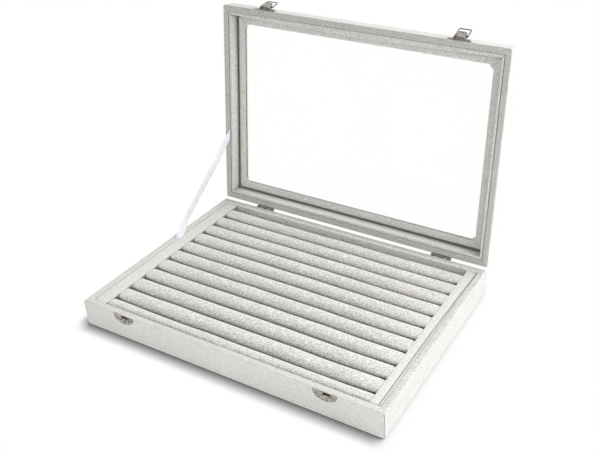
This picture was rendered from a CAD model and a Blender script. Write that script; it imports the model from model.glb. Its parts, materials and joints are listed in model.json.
import json
import math

import bmesh
import bpy
from mathutils import Matrix, Vector, noise


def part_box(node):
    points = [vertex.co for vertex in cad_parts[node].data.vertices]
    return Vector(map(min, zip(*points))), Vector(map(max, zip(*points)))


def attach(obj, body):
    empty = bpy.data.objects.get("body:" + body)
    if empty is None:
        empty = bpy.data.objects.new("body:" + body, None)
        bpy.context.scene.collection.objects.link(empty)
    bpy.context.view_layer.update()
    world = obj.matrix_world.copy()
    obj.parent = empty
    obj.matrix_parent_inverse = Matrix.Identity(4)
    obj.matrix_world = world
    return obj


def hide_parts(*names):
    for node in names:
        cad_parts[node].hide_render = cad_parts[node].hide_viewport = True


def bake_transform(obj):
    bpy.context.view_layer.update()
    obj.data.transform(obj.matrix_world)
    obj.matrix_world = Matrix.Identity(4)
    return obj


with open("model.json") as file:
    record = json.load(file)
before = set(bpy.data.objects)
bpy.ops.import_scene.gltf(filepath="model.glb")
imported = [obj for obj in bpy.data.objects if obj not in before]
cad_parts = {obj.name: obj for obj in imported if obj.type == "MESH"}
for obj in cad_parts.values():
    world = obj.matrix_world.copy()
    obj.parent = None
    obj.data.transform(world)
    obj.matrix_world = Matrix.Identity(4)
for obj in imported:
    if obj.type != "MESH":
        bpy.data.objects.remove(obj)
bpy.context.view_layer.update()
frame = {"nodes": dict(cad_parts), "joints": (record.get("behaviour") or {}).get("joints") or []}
node = frame["nodes"]
MM = 0.001

# ---- Camera ----

CAM_PLACE = Vector((0.4089, -0.5668, 0.5293))
CAM_YAW = math.radians(-28.28)
CAM_PITCH = math.radians(28.73)
CAM_ROLL = math.radians(-0.66)
IMAGE_W, IMAGE_H = 600, 450
FOCAL_PX = 801.2
CENTRE_PX = (375.2, 184.9)  # the photograph is cropped off its optical centre
SENSOR = 36.0
CLIP = (0.01, 100)


def make_camera():
    data = bpy.data.cameras.new("camera")
    data.sensor_width = SENSOR
    data.lens = FOCAL_PX * SENSOR / IMAGE_W
    data.shift_x = (IMAGE_W / 2 - CENTRE_PX[0]) / IMAGE_W
    data.shift_y = (CENTRE_PX[1] - IMAGE_H / 2) / IMAGE_W
    data.clip_start, data.clip_end = CLIP
    ahead = Vector((math.sin(CAM_YAW) * math.cos(CAM_PITCH),
                    math.cos(CAM_YAW) * math.cos(CAM_PITCH), -math.sin(CAM_PITCH)))
    level = Vector((math.cos(CAM_YAW), -math.sin(CAM_YAW), 0))
    above = level.cross(ahead)
    right = math.cos(CAM_ROLL) * level + math.sin(CAM_ROLL) * above
    up = math.cos(CAM_ROLL) * above - math.sin(CAM_ROLL) * level
    camera = bpy.data.objects.new("camera", data)
    turn = Matrix((right, up, -ahead)).transposed().to_4x4()
    camera.matrix_world = Matrix.Translation(CAM_PLACE) @ turn
    bpy.context.scene.collection.objects.link(camera)
    bpy.context.scene.camera = camera


# ---- Node helpers ----

class Nodes:
    """A material's node tree, with short calls to add and join nodes."""

    def __init__(self, name):
        self.material = bpy.data.materials.new(name)
        self.material.use_nodes = True
        self.tree = self.material.node_tree
        self.shader = self.tree.nodes["Principled BSDF"]
        self.output = self.tree.nodes["Material Output"]

    def add(self, kind, **settings):
        made = self.tree.nodes.new("ShaderNode" + kind)
        for key, value in settings.items():
            setattr(made, key, value)
        return made

    def join(self, a, b):
        self.tree.links.new(a, b)

    def set(self, **values):
        for key, value in values.items():
            self.shader.inputs[key.replace("_", " ")].default_value = value

    def place(self):
        return self.add("TexCoord").outputs["Object"]

    def noise(self, scale, detail=2.0, roughness=0.5, stretch=None):
        texture = self.add("TexNoise")
        texture.inputs["Scale"].default_value = scale
        texture.inputs["Detail"].default_value = detail
        texture.inputs["Roughness"].default_value = roughness
        where = self.place()
        if stretch:
            mapping = self.add("Mapping")
            mapping.inputs["Scale"].default_value = stretch
            self.join(where, mapping.inputs["Vector"])
            where = mapping.outputs["Vector"]
        self.join(where, texture.inputs["Vector"])
        return texture.outputs["Fac"]

    def ramp(self, value, low, high, colour_low, colour_high):
        ramp = self.add("ValToRGB")
        ramp.color_ramp.elements[0].position = low
        ramp.color_ramp.elements[0].color = (*colour_low, 1)
        ramp.color_ramp.elements[1].position = high
        ramp.color_ramp.elements[1].color = (*colour_high, 1)
        self.join(value, ramp.inputs["Fac"])
        return ramp.outputs["Color"]

    def multiply(self, a, b):
        mix = self.add("Mix", data_type="RGBA", blend_type="MULTIPLY")
        mix.inputs["Factor"].default_value = 1.0
        self.join(a, mix.inputs["A"])
        self.join(b, mix.inputs["B"])
        return mix.outputs["Result"]

    def bump(self, height, distance, strength=1.0, under=None):
        bump = self.add("Bump")
        bump.inputs["Distance"].default_value = distance
        bump.inputs["Strength"].default_value = strength
        self.join(height, bump.inputs["Height"])
        if under:
            self.join(under, bump.inputs["Normal"])
        return bump.outputs["Normal"]


def grey(value):
    return (value, value, value)


def dimmed(shade, by):
    return tuple(by * c for c in shade)


def any_ray(tree, *kinds):
    """A socket that is 1 for the named kinds of ray, and 0 for others."""
    ray = tree.nodes.new("ShaderNodeLightPath")
    shown = ray.outputs[kinds[0]]
    for kind in kinds[1:]:
        either = tree.nodes.new("ShaderNodeMath")
        either.operation = "MAXIMUM"
        tree.links.new(shown, either.inputs[0])
        tree.links.new(ray.outputs[kind], either.inputs[1])
        shown = either.outputs["Value"]
    return shown


# ---- Materials ----

TUFTS, HAIRS = 720, 1500  # noise scales of the velvet's coarse and fine pile
CLOUDS, TINTS = 34, 420  # and of its brushed clouds and its spots of colour
TUFT_H, HAIR_H, PILE_BUMP = 0.0004, 0.0002, 0.7
CREVICE_RAMP = (0.12, 0.86)
NAP_FACING = (-0.3, 0.9)  # how far a side faces along the nap, for the ends of the ramp's range
NAP_RAMP = (0.3, 0.9)
METAL_LINES, METAL_TARNISH, METAL_CLOUDS = 900, 480, 300
GRIME_REACH = 0.003
GRIME = (0.05, 0.045, 0.04)
GLASS_IOR = 1.25


def velvet(name, shade, speckle=1.0, pile=1.0, sheen=0.6, crevice=0.0, nap=None):
    """Short-pile velvet: a speckle of leaning pile, soft clouds where it was brushed, and a sheen.

    crevice is how far apart surfaces darken each other. nap is an axis, the way along it that a
    side faces, and how many times as bright its pile looks there.
    """
    n = Nodes(name)
    coarse = n.noise(TUFTS, 2, 0.6)
    fine = n.noise(HAIRS, 2, 0.6)
    tufts = n.ramp(coarse, 0.36, 0.64, grey(1 - 0.24 * speckle), grey(1 + 0.12 * speckle))
    hairs = n.ramp(fine, 0.32, 0.68, grey(1 - 0.16 * speckle), grey(1 + 0.08 * speckle))
    grain = n.multiply(tufts, hairs)
    clouds = n.ramp(n.noise(CLOUDS, 2), 0.3, 0.7, grey(0.975), grey(1.015))
    tint = n.ramp(n.noise(TINTS, 1), 0.35, 0.65, (1.015, 0.99, 0.99), (0.99, 1.005, 0.985))
    plain = n.add("RGB")
    plain.outputs["Color"].default_value = (*shade, 1)
    mixed = n.multiply(n.multiply(n.multiply(plain.outputs["Color"], grain), clouds), tint)
    if crevice:
        near = n.add("AmbientOcclusion", samples=6)
        near.inputs["Distance"].default_value = crevice
        mixed = n.multiply(mixed, n.ramp(near.outputs["AO"], *CREVICE_RAMP, grey(0.12), grey(1.0)))
    if nap:
        axis, way, gain = nap
        faces = n.add("SeparateXYZ")
        n.join(n.add("TexCoord").outputs["Normal"], faces.inputs["Vector"])
        turned = n.add("MapRange")
        turned.inputs["From Min"].default_value = NAP_FACING[0] * way
        turned.inputs["From Max"].default_value = NAP_FACING[1] * way
        n.join(faces.outputs[axis], turned.inputs["Value"])
        brushed = n.ramp(turned.outputs["Result"], *NAP_RAMP, grey(1.0), grey(gain))
        mixed = n.multiply(mixed, brushed)
    n.join(mixed, n.shader.inputs["Base Color"])
    tufted = n.bump(coarse, TUFT_H, PILE_BUMP * pile)
    n.join(n.bump(fine, HAIR_H, PILE_BUMP * pile, tufted), n.shader.inputs["Normal"])
    n.set(Roughness=0.95, Sheen_Weight=sheen, Sheen_Roughness=0.4)
    n.shader.inputs["Specular IOR Level"].default_value = 0.1
    return n.material


def metal(name, shade, roughness):
    """Nickel plate: drawn lines along the fitting, tarnish, and grime where surfaces meet."""
    n = Nodes(name)
    lines = n.noise(METAL_LINES, 2, 0.6, (0.08, 1.0, 1.0))
    plate = n.ramp(lines, 0.3, 0.7, dimmed(shade, 0.75), shade)
    tarnish = n.ramp(n.noise(METAL_TARNISH, 3, 0.6), 0.42, 0.62, grey(1.25), (0.42, 0.4, 0.37))
    corner = n.add("AmbientOcclusion", samples=8)
    corner.inputs["Distance"].default_value = GRIME_REACH
    grime = n.ramp(corner.outputs["AO"], 0.45, 1.0, GRIME, grey(1))
    n.join(n.multiply(n.multiply(plate, tarnish), grime), n.shader.inputs["Base Color"])
    rough = n.add("MapRange")
    rough.inputs["To Min"].default_value = roughness * 0.8
    rough.inputs["To Max"].default_value = roughness * 1.3
    n.join(n.noise(METAL_CLOUDS, 2), rough.inputs["Value"])
    n.join(rough.outputs["Result"], n.shader.inputs["Roughness"])
    n.join(n.bump(lines, 0.00003, 0.5), n.shader.inputs["Normal"])
    n.set(Metallic=1.0)
    return n.material


def glass(name):
    """Clear window glass. Light that falls on what lies behind it goes straight through."""
    n = Nodes(name)
    smear = n.ramp(n.noise(9, 2), 0.3, 0.7, (0.985, 0.995, 0.99), (1, 1, 1))
    n.join(smear, n.shader.inputs["Base Color"])
    n.set(Roughness=0.0, Transmission_Weight=1.0, IOR=GLASS_IOR)
    clear = n.add("BsdfTransparent")
    mix = n.add("MixShader")
    n.join(any_ray(n.tree, "Is Shadow Ray", "Is Diffuse Ray"), mix.inputs["Fac"])
    n.join(n.shader.outputs["BSDF"], mix.inputs[1])
    n.join(clear.outputs["BSDF"], mix.inputs[2])
    n.join(mix.outputs["Shader"], n.output.inputs["Surface"])
    return n.material


def board(name, shade):
    """Plain grey board with its pressed fibres."""
    n = Nodes(name)
    fibre = n.noise(240, 4, 0.7)
    n.join(n.ramp(fibre, 0.3, 0.7, dimmed(shade, 0.85), shade), n.shader.inputs["Base Color"])
    n.join(n.bump(fibre, 0.0002, 0.3), n.shader.inputs["Normal"])
    n.set(Roughness=0.9)
    return n.material


def satin(name, shade):
    """Satin ribbon: fine threads along its length and a soft gloss."""
    n = Nodes(name)
    threads = n.noise(700, 2, 0.5, (1.0, 1.0, 0.12))
    n.join(n.ramp(threads, 0.3, 0.7, dimmed(shade, 0.93), shade), n.shader.inputs["Base Color"])
    n.join(n.bump(threads, 0.00002, 0.15), n.shader.inputs["Normal"])
    n.set(Roughness=0.42, Sheen_Weight=0.3)
    return n.material


velvet_walls = velvet("velvet_walls", (0.585, 0.585, 0.562), 0.55, pile=1.5)
velvet_grainy = velvet("velvet_grainy", (0.6, 0.6, 0.575), 1.2, pile=1.6)
velvet_back = velvet("velvet_back", (0.585, 0.585, 0.562), 0.9, pile=1.3, nap=("Y", -1, 1.5))
velvet_lid = velvet("velvet_lid", (0.6, 0.6, 0.575), 1.0, pile=1.2, nap=("Y", -1, 0.9))
velvet_ledges = velvet("velvet_ledges", (0.655, 0.655, 0.635), 0.8, nap=("X", 1, 0.35))
velvet_rolls = velvet("velvet_rolls", (0.67, 0.66, 0.64), 1.45, pile=1.3, sheen=0.75,
                      crevice=0.007)
velvet_lining = velvet("velvet_lining", (0.66, 0.66, 0.63), 0.9, crevice=0.006)
nickel = metal("nickel", (0.45, 0.42, 0.375), 0.25)
nickel_worn = metal("nickel_worn", (0.26, 0.24, 0.215), 0.3)
nickel_pin = metal("nickel_pin", (0.3, 0.28, 0.25), 0.3)
clear_glass = glass("clear_glass")
grey_board = board("grey_board", (0.3, 0.3, 0.28))
ribbon_satin = satin("ribbon_satin", (0.8, 0.8, 0.87))

LOOKS = (  # by how a node's name starts; the first that fits is taken
    ("base_panel", grey_board), ("insert_board", grey_board),
    ("base_wall_right", velvet_grainy), ("base_wall_back", velvet_back),
    ("base_wall", velvet_walls), ("ledge", velvet_ledges), ("packing", velvet_ledges),
    ("ring_roll", velvet_rolls), ("lid_rail", velvet_lid), ("lid_liner", velvet_lining),
    ("glazing_strip", velvet_lining), ("glass_pane", clear_glass),
    ("latch_pin", nickel_pin), ("hinge_pin", nickel_pin), ("latch_plate", nickel_worn),
    ("latch_loop", nickel_worn), ("latch", nickel), ("catch", nickel), ("hinge", nickel),
    ("ribbon", ribbon_satin),
)


def dress():
    """Gives every CAD node its material."""
    for name, obj in node.items():
        material = next(look for start, look in LOOKS if name.startswith(start))
        obj.data.materials.clear()
        obj.data.materials.append(material)


# ---- Meshes ----

def along_table(table, t):
    """Smooth value of a table of (place, value) pairs at t."""
    for (t0, v0), (t1, v1) in zip(table, table[1:]):
        if t <= t1:
            u = (t - t0) / (t1 - t0)
            return v0 + (v1 - v0) * (3 * u * u - 2 * u ** 3)
    return table[-1][1]


def add_mesh(name, points, faces, material, smooth=True):
    """An object in the scene, made of the points, faces and material."""
    mesh = bpy.data.meshes.new(name)
    mesh.from_pydata([tuple(p) for p in points], [], faces)
    mesh.update()
    if smooth:
        mesh.polygons.foreach_set("use_smooth", [True] * len(mesh.polygons))
    mesh.materials.append(material)
    obj = bpy.data.objects.new(name, mesh)
    bpy.context.scene.collection.objects.link(obj)
    return obj


def loft(name, rings, material):
    """A closed skin through rings of as many points each, with a fan over either end."""
    count = len(rings[0])
    points = [p for ring in rings for p in ring]
    faces = []
    for i in range(len(rings) - 1):
        for j in range(count):
            k = (j + 1) % count
            faces.append((i * count + j, i * count + k, (i + 1) * count + k, (i + 1) * count + j))
    for ring, start in ((rings[0], 0), (rings[-1], (len(rings) - 1) * count)):
        middle = sum((Vector(p) for p in ring), Vector()) / count
        points.append(middle)
        for j in range(count):
            k = (j + 1) % count
            tri = (start + j, start + k, len(points) - 1)
            faces.append(tri if start else tri[::-1])
    skin = add_mesh(name, points, faces, material)
    solid = bmesh.new()
    solid.from_mesh(skin.data)
    if solid.calc_volume(signed=True) < 0:
        skin.data.flip_normals()
    solid.free()
    return skin


# ---- Ring rolls and the padded ledge ----

# Lengths in this section are in mm.
ROLLS = 10
FIRST_GROOVE = -97.4  # Y of the groove behind the front ledge
ROLL_PITCH = 20.43  # from groove to groove
ROLL_BOW = 1.6  # how far the middle grooves bow backwards at mid-length
GROOVE_WANDER = 0.45
ROLL_ARCH = 4.7  # height of a roll's round top
ROLL_FULLNESS = 3.0  # exponent of the round top: 2 is an ellipse, more is squarer
TOP_DROP, TOP_WAVE = 0.15, 0.3  # of a roll's top, below its CAD solid's and up and down
ROLL_STATIONS = 96
ARCH_STEPS = 20
ROLL_SEED, LEDGE_SEED = 2.3, 31.0  # from roll to roll, and of the padded ledge
GROOVE_GAP = 0.8  # between the flanks of two rolls
LAST_SLACK = 1.0  # how much earlier the last roll ends
LEDGE_GAP = 0.1  # between the front wall and the padded ledge
SLACK = 0.35  # how far inside its filled shape a pad is cut
END_ROUND, END_SQUEEZE = 0.35, 0.01  # a roll's rounded end: its length and how much it narrows
END_PARTS = (0.0, 0.4)  # where in the rounded end the first sections lie
END_PINCH, PINCH_REACH = 0.8, 6  # how much narrower a roll is on each side at its very end
HELD_H, HELD_END = 7, 0.2  # the filling leaves the velvet below and behind these as it was
CLOTH_FRAMES = 20
CLOTH_CAP = 0.7  # how far the filling may move the velvet


def groove(index, along):
    """Y of a groove in metres, from 0 before the first roll; along runs from 0 left to 1 right."""
    middle = math.sin(math.pi * min(index, ROLLS - 0.5) / ROLLS) ** 0.7
    bow = ROLL_BOW * middle * math.sin(math.pi * along)
    wander = GROOVE_WANDER * noise.noise(Vector((along * 5.0, index * 3.7, 0.5)))
    return (FIRST_GROOVE + ROLL_PITCH * index + bow + wander) * MM


def arch(x, y0, y1, low, high, squeeze):
    """One section of a roll: flat underneath, with straight flanks and a round top."""
    middle = (y0 + y1) / 2
    half = (y1 - y0) / 2 * squeeze
    rise = ROLL_ARCH * MM
    points = [(x, middle - half, low), (x, middle - half, (low + high - rise) / 2)]
    for k in range(ARCH_STEPS + 1):
        a = math.pi * (1 - k / ARCH_STEPS)
        c, t = math.cos(a), math.sin(a)
        points.append((x, middle + half * math.copysign(abs(c) ** (2 / ROLL_FULLNESS), c),
                       high - rise + rise * abs(t) ** (2 / ROLL_FULLNESS)))
    points += [(x, middle + half, (low + high - rise) / 2), (x, middle + half, low)]
    return points


def make_roll(name, piece, front, back, seed):
    """A padded roll between two lines, whose Y front and back give at a place along it."""
    low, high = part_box(name)
    length = high[0] - low[0]
    slack = SLACK * MM
    gap = GROOVE_GAP / 2 * MM + slack
    round_end = END_ROUND * MM
    places = [low[0] + part * round_end for part in END_PARTS]
    for k in range(ROLL_STATIONS + 1):
        places.append(low[0] + round_end + (length - 2 * round_end) * k / ROLL_STATIONS)
    places += [high[0] - part * round_end for part in reversed(END_PARTS)]
    rings = []
    for x in places:
        t = min(min(x - low[0], high[0] - x) / round_end, 1.0)
        squeeze = 1 - END_SQUEEZE * (1 - math.sqrt(1 - (1 - t) ** 2))
        along = (x - low[0]) / length
        lift = TOP_WAVE * MM * noise.noise(Vector((along * 7.0, seed, 4.1)))
        near = max(0.0, 1 - min(x - low[0], high[0] - x) / (PINCH_REACH * MM))
        side = gap + END_PINCH * MM * near ** 2
        rings.append(arch(x, front(along) + side, back(along) - side, low[2],
                          high[2] + lift - TOP_DROP * MM, squeeze))
    roll = loft(piece, rings, velvet_rolls)
    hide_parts(name)
    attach(roll, "base")
    return roll


def fill_pads(pads):
    """Swells the pads as cloth blown up from inside, held where they lie on the board."""
    for pad in pads:
        held = pad.vertex_groups.new(name="held")
        low = min(v.co.z for v in pad.data.vertices)
        across = [v.co.x for v in pad.data.vertices]
        ends = min(across), max(across)
        for v in pad.data.vertices:
            from_end = min(v.co.x - ends[0], ends[1] - v.co.x)
            if v.co.z < low + HELD_H * MM or from_end < HELD_END * MM:
                held.add([v.index], 1.0, "REPLACE")
        cloth = pad.modifiers.new("filling", "CLOTH")
        settings = cloth.settings
        settings.quality = 6
        settings.mass = 0.2
        settings.tension_stiffness = 12
        settings.compression_stiffness = 12
        settings.shear_stiffness = 6
        settings.bending_stiffness = 0.3
        settings.use_pressure = True
        settings.uniform_pressure_force = 4
        settings.effector_weights.gravity = 0
        settings.vertex_group_mass = "held"
    for step in range(1, CLOTH_FRAMES + 1):
        bpy.context.scene.frame_set(step)
    graph = bpy.context.evaluated_depsgraph_get()
    for pad in pads:
        filled = [v.co.copy() for v in pad.evaluated_get(graph).data.vertices]
        pad.modifiers.remove(pad.modifiers["filling"])
        for v, place in zip(pad.data.vertices, filled):
            move = place - v.co
            v.co += move * min(1.0, CLOTH_CAP * MM / max(move.length, 1e-9))
    bpy.context.scene.frame_set(1)


def make_rolls():
    pads = []
    for i in range(ROLLS):
        slack = LAST_SLACK * MM if i == ROLLS - 1 else 0
        pads.append(make_roll("ring_roll_%02d" % (i + 1), "padded_roll_%02d" % (i + 1),
                              lambda along: groove(i, along),
                              lambda along: groove(i + 1, along) - slack, i * ROLL_SEED))
    ledge_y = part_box("ledge_front")[0][1] + LEDGE_GAP * MM
    pads.append(make_roll("ledge_front", "padded_ledge_front",
                          lambda along: ledge_y, lambda along: groove(0, along), LEDGE_SEED))
    fill_pads(pads)


# ---- Covered boards of the tray and the lid ----

# Lengths in this section are in mm. The four sides are front, right, back and left.
BOX_W, BOX_D = 350, 240
LID_RIM = 30.4  # height of the shut lid's rim
# How far in from the box's sides, and how deep from the lid's rim, the lid's boards lie
STRIP_IN, STRIP_DEEP = (12.7, 21.5), (12.5, 13.95)
STRIP_CHAMFER = 5  # at the glass's corners
LINER_IN = ((7.02, 10.3), (7.3, 10.3), (7.3, 10.3), (7.7, 10.3))
LINER_DEEP = ((0.15, 13.9), (0.4, 13.9), (0.4, 13.9), (0.4, 13.9))
LINER_BULGE = (3.3, 0.2, 0.3, 0.4)  # how much thicker each lining is at mid-length
CORNER_STEPS = 3  # of a board's rounded edges
LID_COVER_R, LID_COVER_WAVE = 0.6, 0.15
LID_STATIONS = 40
MITRE_ROUND = (0.0, 0.12, 0.35, 0.8)  # sections of a board's rounded end, from the mitre
MITRE_DROP = 0.5
TRAY_WALL = 167.98  # X of the side walls' inner faces
LEFT_LEDGE_EDGE, RIGHT_LEDGE_EDGE = -152.05, 155.45
# The right ledge's outer side as Y and X, and the gap from it to the packing strip
LEDGE_SIDE = ((-200, 164.3), (0, 164.3), (50, 165.4), (113, 166.6))
PACKING_GAP = 0.3
TRAY_COVER_R, TRAY_COVER_WAVE, TRAY_COVER_LIFT, TRAY_COVER_DROP = 0.55, 0.12, 0.2, 0.1
TRAY_STATIONS = 60
FOLD_IN = (1.1, -0.02)  # a fold's middle from the corner and from the face that it lies on
FOLD_Z = (1.2, 28.4)
FOLD_HALF = (0.75, 0.3)  # half its width along the face and away from it
FOLD_SWAY = 0.12
FOLD_STATIONS, FOLD_POINTS = 24, 10
lid_joint = next(j for j in frame["joints"] if j["name"] == "lid_hinge")
LID_PIN = Vector(lid_joint["pos_m"])
LID_TURN = Matrix.Rotation(-math.radians(lid_joint["range_deg"][1]), 3, "X")


def on_lid(x, y, deep):
    """Where the open lid has a point given in mm on the shut one, with its depth from the rim."""
    return LID_PIN + LID_TURN @ (Vector((x, y, LID_RIM + deep)) * MM - LID_PIN)


def round_section(a0, a1, b0, b1, r):
    """Points of a rounded rectangle in two directions, starting at its low corner."""
    points = []
    corners = ((a0 + r, b0 + r, 180), (a1 - r, b0 + r, 270),
               (a1 - r, b1 - r, 0), (a0 + r, b1 - r, 90))
    for ca, cb, start in corners:
        for k in range(CORNER_STEPS + 1):
            angle = math.radians(start + 90 * k / CORNER_STEPS)
            points.append((ca + r * math.cos(angle), cb + r * math.sin(angle)))
    return points


def on_side(side, along, inset):
    """X and Y of a point on one side of the box, so far along it and so far in from it."""
    reach = BOX_D / 2 if side % 2 == 0 else BOX_W / 2
    turn = math.radians(90 * side)
    x, y = along, inset - reach
    return x * math.cos(turn) - y * math.sin(turn), x * math.sin(turn) + y * math.cos(turn)


def mitred_board(name, piece, side, inset, deep, bulge=0.0, chamfer=0.0):
    """A covered board along one side of the lid, with its cover rounded at the mitred ends."""
    half = (BOX_W if side % 2 == 0 else BOX_D) / 2 - inset[1]
    width = inset[1] - inset[0]
    cut = chamfer / 2
    # how far along the outer and the inner edge from the inner corner, and the chamfer's width
    stations = [(-width, cut, cut)]
    if chamfer:
        stations.append((chamfer - width, chamfer, 0.0))
    first = stations[-1]
    for k in range(1, LID_STATIONS):
        u = k / LID_STATIONS
        stations.append((first[0] + (half - first[0]) * u, first[1] + (half - first[1]) * u, 0.0))
    rows = [(*stations[0], e) for e in MITRE_ROUND] + [(*row, 0.0) for row in stations[1:]]
    # each from one end to the middle, and on to the other end; e is how far it is from the mitre
    rows = [(1, *row) for row in rows] + [(-1, *row) for row in reversed(rows)]
    rings = []
    for end, outer, inner, extra, e in rows:
        down = 0.0
        if extra or e:
            down = MITRE_DROP * (1 - math.sqrt(1 - (1 - e / MITRE_ROUND[-1]) ** 2))
        t = 1 - end * (half - inner) / half  # 0 and 2 at the ends
        swell = math.sin(math.pi * t / 2)
        wave = LID_COVER_WAVE * swell * noise.noise(Vector((t * 3.0, side * 2.3, inset[0])))
        ring = []
        for a, b in round_section(0, width, deep[0] + down, deep[1], LID_COVER_R):
            f = a / width  # 0 at the outer edge and 1 at the inner
            along = -half + outer * (1 - f) + inner * f + e
            thicker = (extra + bulge * swell ** 1.2) * f + wave
            x, y = on_side(side, end * along, inset[0] + a + thicker)
            ring.append(on_lid(x, y, b))
        rings.append(ring)
    cover = loft(piece, rings, velvet_lining)
    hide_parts(name)
    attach(cover, "lid")


def make_lid_boards():
    for side, name in enumerate(("front", "right", "back", "left")):
        mitred_board("lid_liner_" + name, "lining_" + name, side, LINER_IN[side], LINER_DEEP[side],
                     bulge=LINER_BULGE[side])
        mitred_board("glazing_strip_" + name, "strip_" + name, side, STRIP_IN, STRIP_DEEP,
                     chamfer=STRIP_CHAMFER)


def tray_board(name, piece, edges):
    """A covered board in the tray; edges gives its left and right side's X in mm at a Y."""
    low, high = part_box(name)
    rings = []
    for k in range(TRAY_STATIONS + 1):
        y = low[1] + (high[1] - low[1]) * k / TRAY_STATIONS
        x0, x1 = edges(y / MM)
        wave = TRAY_COVER_WAVE * noise.noise(Vector((y * 25, x0, 2.0)))
        top = high[2] / MM + TRAY_COVER_LIFT * noise.noise(Vector((y * 20, x1, 7.0)))
        ring = round_section(x0, x1 + wave, low[2] / MM, top - TRAY_COVER_DROP, TRAY_COVER_R)
        rings.append([(x * MM, y, z * MM) for x, z in ring])
    cover = loft(piece, rings, velvet_ledges)
    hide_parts(name)
    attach(cover, "base")


def make_tray_boards():
    tray_board("ledge_left", "cover_ledge_left", lambda y: (-TRAY_WALL, LEFT_LEDGE_EDGE))
    tray_board("ledge_right", "cover_ledge_right",
               lambda y: (RIGHT_LEDGE_EDGE, along_table(LEDGE_SIDE, y)))
    tray_board("packing_strip", "cover_packing",
               lambda y: (along_table(LEDGE_SIDE, y) + PACKING_GAP, TRAY_WALL))


def make_corner_folds():
    """Where the velvet of two walls meets at an upright corner, each piece ends in a thin fold."""
    for k, (sx, sy) in enumerate(((-1, -1), (1, -1), (1, 1), (-1, 1))):
        for axis in (0, 1):
            middle = Vector((sx * (BOX_W / 2 - FOLD_IN[axis]),
                             sy * (BOX_D / 2 - FOLD_IN[1 - axis]), 0))
            rings = []
            for step in range(FOLD_STATIONS + 1):
                z = FOLD_Z[0] + (FOLD_Z[1] - FOLD_Z[0]) * step / FOLD_STATIONS
                sway = FOLD_SWAY * noise.noise(Vector((z * 0.3, k * 4.0, axis * 9.0)))
                ring = []
                for a in range(FOLD_POINTS):
                    angle = math.tau * a / FOLD_POINTS
                    wide = (FOLD_HALF[0] * math.cos(angle) + sway, FOLD_HALF[1] * math.sin(angle))
                    ring.append((middle + Vector((wide[axis], wide[1 - axis], z))) * MM)
                rings.append(ring)
            fold = loft("corner_fold_%d%s" % (k + 1, "ab"[axis]), rings, velvet_walls)
            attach(fold, "base")


# ---- Ribbon ----

# Lengths in this section are in mm.
RIBBON_W, RIBBON_T = 10, 0.25
RIBBON_SEAM = 0.15  # from the wall's inner face, where the ribbon comes out beside the ledge
RIBBON_FOOT_Y, RIBBON_FOOT_Z = 21, 28
RIBBON_HANG_Y = 35  # where it goes into the lid, measured on the shut lid
RIBBON_TUCK = 8  # how much of it is hidden at either end
RIBBON_STEPS, RIBBON_ACROSS = 60, 8
# How far it sways to the right, and how many degrees it is turned, from foot to lid
RIBBON_OUT = ((0.0, 0.0), (0.2, -2.7), (0.33, -2.2), (0.5, -1.3), (0.75, -0.2), (1.0, 0.0))
RIBBON_TURN = ((0.0, 16.0), (0.08, 8.0), (0.22, -6.0), (0.45, -5.0), (1.0, -2.0))


def make_ribbon():
    """The satin stay, from the seam beside the left ledge up into the lid's channel."""
    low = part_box("ribbon_stay")[0]
    width = RIBBON_W * MM
    foot = Vector((low[0] + RIBBON_SEAM * MM, RIBBON_FOOT_Y * MM, RIBBON_FOOT_Z * MM))
    hang = on_lid(foot.x / MM, RIBBON_HANG_Y, 0)
    inward = LID_TURN @ Vector((0, 0, 1))
    path = [(foot - Vector((0, 0, RIBBON_TUCK * MM)), 0.0)]
    for k in range(RIBBON_STEPS + 1):
        t = k / RIBBON_STEPS
        out = Vector((along_table(RIBBON_OUT, t) * MM, 0, 0))
        path.append((foot.lerp(hang, t) + out, along_table(RIBBON_TURN, t)))
    path.append((hang + inward * RIBBON_TUCK * MM, 0.0))
    points, faces = [], []
    for k, (p, lean) in enumerate(path):
        ahead = (path[min(k + 1, len(path) - 1)][0] - path[max(k - 1, 0)][0]).normalized()
        side = Vector((1, 0, 0)).cross(ahead).normalized()
        side = Matrix.Rotation(math.radians(-lean), 3, ahead) @ side
        for j in range(RIBBON_ACROSS + 1):
            points.append(p + side * width * (j / RIBBON_ACROSS - 0.5))
    row = RIBBON_ACROSS + 1
    for k in range(len(path) - 1):
        for j in range(RIBBON_ACROSS):
            a = k * row + j
            faces.append((a, a + 1, a + row + 1, a + row))
    ribbon = add_mesh("ribbon", points, faces, ribbon_satin)
    thick = ribbon.modifiers.new("thickness", "SOLIDIFY")
    thick.thickness = RIBBON_T * MM
    thick.offset = 0
    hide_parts("ribbon_stay")
    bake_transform(ribbon)


# ---- Stage ----

SEES_WHITE = ("Is Camera Ray", "Is Glossy Ray", "Is Transmission Ray")
FLOOR_REACH, FLOOR_DROP = 4.0, 0.0002
# The floor is darker where the box lies this way, so its shadow falls to the front left
SHADOW_LEAN = (0.7, 0.5, 0.5)
SHADOW_REACH, SHADOW_RAMP, SHADOW_DARK = 0.0155, (0.4, 0.96), 0.06
WORLD_LIGHT = 0.1
SUNS = (  # name, the way to it, strength and width in degrees
    ("dome", (0.1, 0.6, 0.8), 2.45, 120),
    ("key", (0.1, 0.75, 0.65), 1.5, 60),
    ("fill", (0.1, -0.85, 0.5), 0.55, 30),
)
PANELS = (  # name, place, the way it shines, width, height and watts
    ("side", (0.75, 0.1, 0.45), (-0.75, -0.1, -0.42), 0.5, 0.5, 4.3),
    ("front", (0.0, -0.45, 0.05), (0, 1, -0.1), 0.7, 0.08, 0.85),
)


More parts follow.
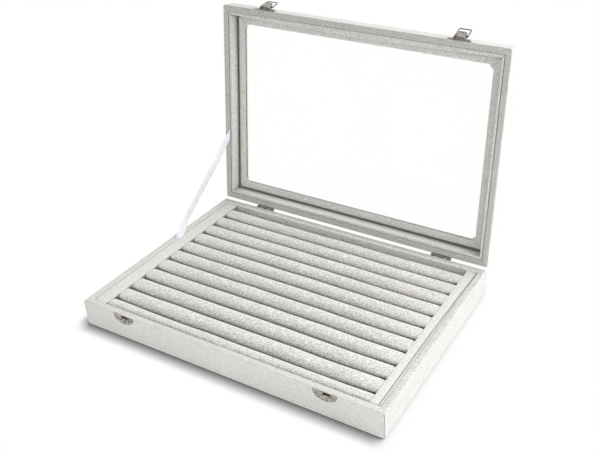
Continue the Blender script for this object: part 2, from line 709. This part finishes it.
def make_floor():
    n = Nodes("floor")
    n.set(Roughness=1.0)
    n.shader.inputs["Base Color"].default_value = (0.88, 0.88, 0.88, 1)
    n.shader.inputs["Specular IOR Level"].default_value = 0.0
    contact = n.add("AmbientOcclusion", samples=16)
    contact.inputs["Distance"].default_value = SHADOW_REACH
    lean = n.add("CombineXYZ")
    for axis, value in zip("XYZ", SHADOW_LEAN):
        lean.inputs[axis].default_value = value
    n.join(lean.outputs["Vector"], contact.inputs["Normal"])
    glow = n.add("Emission")
    shadow = n.ramp(contact.outputs["AO"], *SHADOW_RAMP, grey(SHADOW_DARK), grey(1.0))
    n.join(shadow, glow.inputs["Color"])
    mix = n.add("MixShader")
    n.join(any_ray(n.tree, *SEES_WHITE), mix.inputs["Fac"])
    n.join(n.shader.outputs["BSDF"], mix.inputs[1])
    n.join(glow.outputs["Emission"], mix.inputs[2])
    n.join(mix.outputs["Shader"], n.output.inputs["Surface"])
    far = FLOOR_REACH
    corners = [(-far, -far, 0), (far, -far, 0), (far, far, 0), (-far, far, 0)]
    floor = add_mesh("floor", corners, [(0, 1, 2, 3)], n.material, smooth=False)
    floor.location.z = -FLOOR_DROP


def make_world():
    world = bpy.data.worlds.new("studio")
    bpy.context.scene.world = world
    world.use_nodes = True
    tree = world.node_tree
    tree.nodes.clear()
    out = tree.nodes.new("ShaderNodeOutputWorld")
    seen = tree.nodes.new("ShaderNodeBackground")
    lit = tree.nodes.new("ShaderNodeBackground")
    seen.inputs["Strength"].default_value = 1.0
    seen.inputs["Color"].default_value = (1, 1, 1, 1)
    lit.inputs["Strength"].default_value = WORLD_LIGHT
    lit.inputs["Color"].default_value = (1, 1, 1, 1)
    mix = tree.nodes.new("ShaderNodeMixShader")
    tree.links.new(any_ray(tree, *SEES_WHITE), mix.inputs["Fac"])
    tree.links.new(lit.outputs["Background"], mix.inputs[1])
    tree.links.new(seen.outputs["Background"], mix.inputs[2])
    tree.links.new(mix.outputs["Shader"], out.inputs["Surface"])


def hide_from_glass(lamp):
    """Keeps a lamp's disc or rectangle out of the glass, also where it would shine through."""
    lamp.visible_glossy = False
    lamp.visible_transmission = False


def make_sun(name, towards, strength, angle):
    data = bpy.data.lights.new(name, "SUN")
    data.energy = strength
    data.angle = math.radians(angle)
    sun = bpy.data.objects.new(name, data)
    hide_from_glass(sun)
    sun.rotation_euler = Vector(towards).to_track_quat("Z", "Y").to_euler()
    bpy.context.scene.collection.objects.link(sun)


def make_area(name, place, towards, width, height, watts):
    data = bpy.data.lights.new(name, "AREA")
    data.shape = "RECTANGLE"
    data.size = width
    data.size_y = height
    data.energy = watts
    lamp = bpy.data.objects.new(name, data)
    lamp.location = place
    hide_from_glass(lamp)
    lamp.rotation_euler = Vector(towards).to_track_quat("-Z", "Y").to_euler()
    bpy.context.scene.collection.objects.link(lamp)


make_camera()
make_floor()
make_world()
for sun_facts in SUNS:
    make_sun(*sun_facts)
for panel_facts in PANELS:
    make_area(*panel_facts)
dress()
make_rolls()
make_lid_boards()
make_tray_boards()
make_corner_folds()
make_ribbon()
bpy.context.scene.view_settings.view_transform = "Standard"
